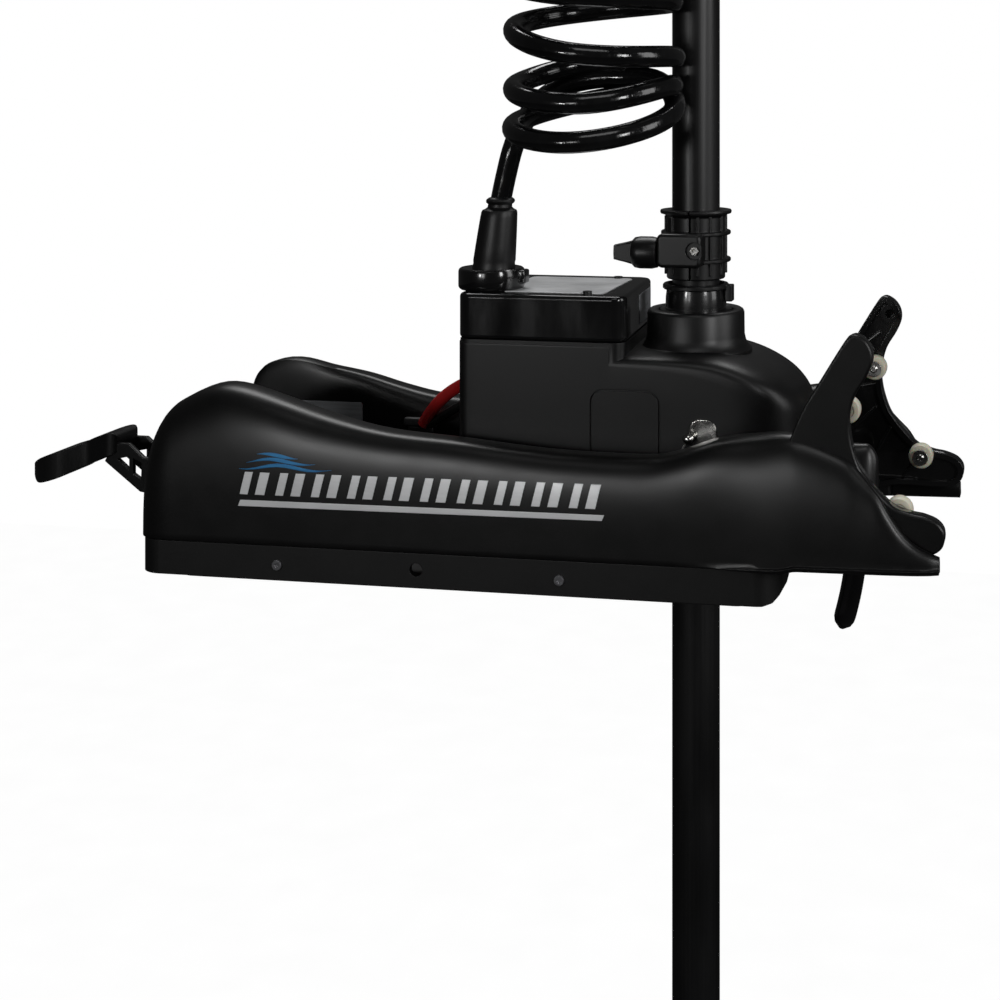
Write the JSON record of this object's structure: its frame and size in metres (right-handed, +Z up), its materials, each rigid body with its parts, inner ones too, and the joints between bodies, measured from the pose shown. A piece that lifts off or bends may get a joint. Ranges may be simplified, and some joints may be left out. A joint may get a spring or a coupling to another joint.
{
  "type": "trolling motor",
  "caption": "Bow-mount electric trolling motor: deck mount with roller cradle, tilting steering housing, sliding shaft with depth collar, coil cord, control head and motor pod with propeller.",
  "frame": {"origin": "centre of the deck bolt pattern, on the underside of the base plate", "axes": "+X to the bow, +Y to port, +Z up along the deployed shaft"},
  "size_m": [0.653, 0.2185, 1.4244],
  "materials": {
    "base_black": "moulded, light grain",
    "cover_black": "moulded, fine spark texture",
    "arm_black": "satin to gloss moulding",
    "roller_ivory": "turned nylon",
    "steel": "stainless, turned",
    "zinc_plate": "zinc plated sheet",
    "spring_steel": "drawn wire",
    "screw_black": "black oxide",
    "label_grey": "blank plate",
    "label_silver": "blank foil plate",
    "lead_red": "insulated wire",
    "lead_black": "insulated wire",
    "connector_grey": "moulded",
    "pedal_black": "moulded, grained",
    "housing_black": "moulded, fine spark texture",
    "lid_gloss": "gloss moulding",
    "bush_nylon": "turned nylon",
    "gear_nylon": "moulded nylon",
    "motor_can": "zinc passivated can",
    "brass": "turned",
    "board_green": "circuit board with parts",
    "cord_black": "gloss jacket with fine creases",
    "sleeve_gloss": "gloss moulding",
    "collar_black": "moulded",
    "knob_black": "moulded",
    "shaft_black": "drawn composite tube, faint lengthwise grain",
    "head_black": "moulded",
    "pod_black": "powder coat",
    "magnet_grey": "sintered ferrite",
    "brush_board": "phenolic board with carbon brushes",
    "copper_core": "laminated core with enamelled windings",
    "seal_rubber": "moulded lip seal",
    "prop_black": "moulded"
  },
  "bodies": {
    "mount": {"base_plate": "base_black", "side_cover_starboard": "cover_black", "side_cover_port": "cover_black", "cradle_arm_starboard": "arm_black", "cradle_arm_port": "arm_black", "roller_bolts": "steel", "hinge_brackets": "zinc_plate", "hinge_tube": "steel", "tilt_springs": "spring_steel", "cover_screws": "screw_black", "rating_label": "label_grey", "lead_positive": "lead_red", "lead_negative": "lead_black", "cable_connector": "connector_grey", "latch_guide": "zinc_plate", "lever_pins": "steel"},
    "upper_roller_starboard": {"roller_upper_starboard": "roller_ivory"},
    "lower_roller_starboard": {"roller_lower_starboard": "roller_ivory"},
    "upper_roller_port": {"roller_upper_port": "roller_ivory"},
    "lower_roller_port": {"roller_lower_port": "roller_ivory"},
    "latch": {"latch_pin": "steel"},
    "pedal": {"lever_arm": "steel", "foot_pedal": "pedal_black"},
    "finger": {"guide_finger": "arm_black"},
    "housing": {"steering_housing": "housing_black", "housing_bottom": "housing_black", "housing_lid": "lid_gloss", "access_panel": "housing_black", "lid_label": "label_silver", "strike_plate": "steel", "sleeve_bushes": "bush_nylon", "steering_motor": "motor_can", "control_board": "board_green", "plug_nut": "knob_black", "cord_plug": "cord_black", "housing_screws": "steel", "coil_cord_lower": "cord_black"},
    "pinion": {"motor_pinion": "brass"},
    "sleeve": {"steering_sleeve": "sleeve_gloss", "drive_gear": "gear_nylon", "collar_aft_half": "collar_black", "collar_bow_half": "collar_black"},
    "knob": {"wing_knob": "knob_black"},
    "shaft": {"shaft_tube": "shaft_black", "head_base": "head_black", "head_cover": "head_black", "head_board": "board_green", "pod_tube": "pod_black", "nose_cone": "pod_black", "tail_cap": "pod_black", "field_magnets": "magnet_grey", "brush_plate": "brush_board", "motor_bearings": "steel", "shaft_seal": "seal_rubber", "coil_cord_upper": "cord_black"},
    "rotor": {"armature": "copper_core", "prop_shaft": "steel", "propeller": "prop_black", "prop_nut": "steel"}
  },
  "joints": [
    {"name": "tilt", "type": "hinge", "parent": "mount", "child": "housing", "pos_m": [0.115, 0, 0.046], "axis": [0, -1, 0], "range_deg": [0, 80], "deforming": ["lead_positive", "lead_negative", "coil_cord_lower", "coil_cord_upper"]},
    {"name": "steer", "type": "hinge", "parent": "housing", "child": "sleeve", "pos_m": [0.225, 0, 0.1], "axis": [0, 0, 1], "range_deg": [-180, 180], "deforming": ["coil_cord_lower", "coil_cord_upper"]},
    {"name": "pinion_spin", "type": "hinge", "parent": "housing", "child": "pinion", "pos_m": [0.185, 0, 0.064], "axis": [0, 0, 1], "range_deg": [-545, 545]},
    {"name": "depth_slide", "type": "slide", "parent": "sleeve", "child": "shaft", "axis": [0, 0, 1], "range_m": [0, 0.42], "deforming": ["coil_cord_lower", "coil_cord_upper"]},
    {"name": "clamp_turn", "type": "hinge", "parent": "sleeve", "child": "knob", "pos_m": [0.19, -0.025, 0.213], "axis": [1, 0, 0], "range_deg": [0, 180]},
    {"name": "propeller_spin", "type": "hinge", "parent": "shaft", "child": "rotor", "pos_m": [0.1, 0, -0.64], "axis": [1, 0, 0], "continuous": true},
    {"name": "roller_spin_upper_starboard", "type": "hinge", "parent": "mount", "child": "upper_roller_starboard", "pos_m": [0.3367, -0.0761, 0.1245], "axis": [0, 1, 0], "continuous": true},
    {"name": "roller_spin_lower_starboard", "type": "hinge", "parent": "mount", "child": "lower_roller_starboard", "pos_m": [0.369, -0.0761, 0.064], "axis": [0, 1, 0], "continuous": true},
    {"name": "roller_spin_upper_port", "type": "hinge", "parent": "mount", "child": "upper_roller_port", "pos_m": [0.3367, 0.0761, 0.1245], "axis": [0, 1, 0], "continuous": true},
    {"name": "roller_spin_lower_port", "type": "hinge", "parent": "mount", "child": "lower_roller_port", "pos_m": [0.369, 0.0761, 0.064], "axis": [0, 1, 0], "continuous": true},
    {"name": "pedal_press", "type": "hinge", "parent": "mount", "child": "pedal", "pos_m": [-0.117, 0, 0.046], "axis": [0, -1, 0], "range_deg": [0, 10], "stiffness_Nm_per_rad": 3},
    {"name": "latch_draw", "type": "slide", "parent": "mount", "child": "latch", "axis": [0, -1, 0], "range_m": [0, 0.0085]},
    {"name": "finger_swing", "type": "hinge", "parent": "mount", "child": "finger", "pos_m": [0.321, 0.0525, 0.062], "axis": [0, -1, 0], "range_deg": [0, 25], "stiffness_Nm_per_rad": 1}
  ],
  "couplings": [
    {"joint": "pinion_spin", "follows": "steer", "ratio": -3},
    {"joint": "latch_draw", "follows": "pedal_press", "m_per_rad": 0.0458}
  ]
}
